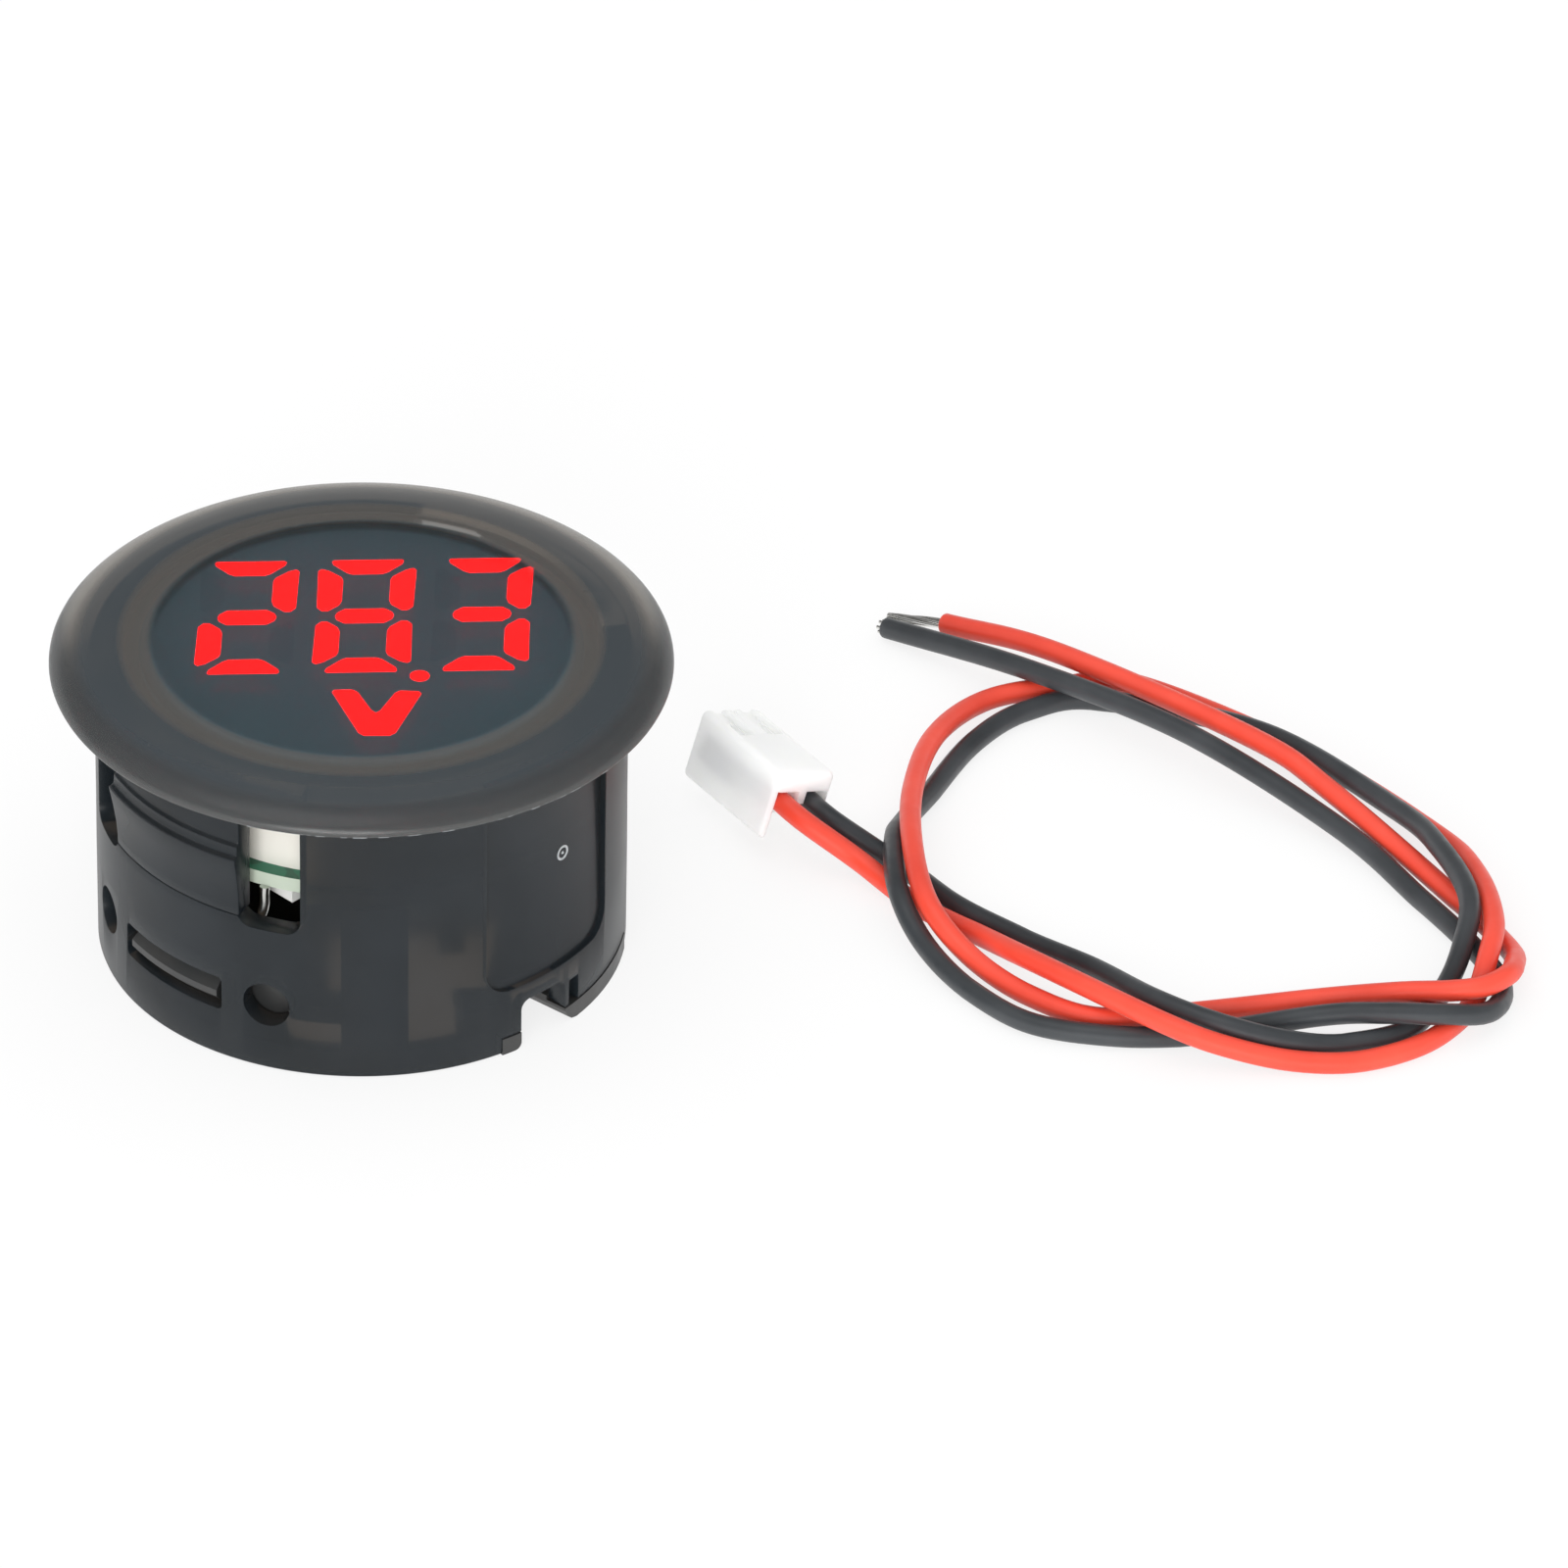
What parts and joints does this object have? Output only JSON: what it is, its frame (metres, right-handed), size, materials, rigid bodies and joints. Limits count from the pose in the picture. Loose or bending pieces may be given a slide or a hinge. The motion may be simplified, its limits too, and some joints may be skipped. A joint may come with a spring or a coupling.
{
  "type": "panel voltmeter",
  "caption": "Round snap-in panel voltmeter with a domed smoked front, red LED readout, two ratchet clips and a separate two-wire lead with a plug.",
  "frame": {"origin": "centre of the circle of the back rim, on the plane that the meter stands on", "axes": "+Z points out of the display, along the barrel's axis; +Y points to the top of the digits; +X points to the right of the readout"},
  "size_m": [0.0806, 0.0476, 0.0191],
  "materials": {
    "smoked_plastic": "polished smoke-grey clear thermoplastic, nearly black where it is thick",
    "cover_plastic": "dark grey moulded thermoplastic, satin inside",
    "reflector_white": "white filled moulded plastic",
    "mask_film": "matt dark grey film",
    "lit_red": "red diffusing resin, lit from behind",
    "unlit_dark": "smoked diffusing resin, not lit",
    "tinned_metal": "bright tin plate",
    "solder": "smooth solder",
    "board_green": "green solder mask over glass fibre laminate",
    "chip_black": "matt black moulding compound",
    "resistor_black": "black glazed film on ceramic",
    "capacitor_tan": "tan ceramic",
    "fuse_white": "white ceramic",
    "nylon_white": "natural white nylon, satin",
    "contact_brass": "tin-flashed brass strip",
    "red_insulation": "red soft PVC insulation",
    "black_insulation": "black soft PVC insulation",
    "tinned_copper": "tinned copper strands"
  },
  "bodies": {
    "meter": {"front_housing": "smoked_plastic", "rear_cover": "cover_plastic", "display_reflector": "reflector_white", "display_mask": "mask_film", "lit_segments": "lit_red", "unlit_segments": "unlit_dark", "decimal_point": "lit_red", "volt_icon": "lit_red", "display_pins": "tinned_metal", "circuit_board": "board_green", "solder_joints": "solder", "controller_chip": "chip_black", "chip_legs": "tinned_metal", "regulator": "chip_black", "protection_diode": "chip_black", "resistors": "resistor_black", "capacitors": "capacitor_tan", "chip_fuse": "fuse_white", "header_housing": "nylon_white", "header_pins": "tinned_metal"},
    "clip_front": {"snap_clip_front": "smoked_plastic"},
    "clip_back": {"snap_clip_back": "smoked_plastic"},
    "lead": {"plug_housing": "nylon_white", "crimp_terminals": "contact_brass", "red_wire": "red_insulation", "black_wire": "black_insulation", "red_strands": "tinned_copper", "black_strands": "tinned_copper"}
  },
  "joints": [
    {"name": "clip_front_bend", "type": "hinge", "parent": "meter", "child": "clip_front", "pos_m": [-0.00877, -0.00862, 0.0096], "axis": [-0.7009, 0.7132, 0], "range_deg": [0, 6.5], "stiffness_Nm_per_rad": 0.1},
    {"name": "clip_back_bend", "type": "hinge", "parent": "meter", "child": "clip_back", "pos_m": [0.00877, 0.00862, 0.0096], "axis": [0.7009, -0.7132, 0], "range_deg": [0, 6.5], "stiffness_Nm_per_rad": 0.1},
    {"name": "lead_lift", "type": "slide", "parent": "meter", "child": "lead", "axis": [0, 0, 1], "range_m": [0, 0.03]}
  ]
}
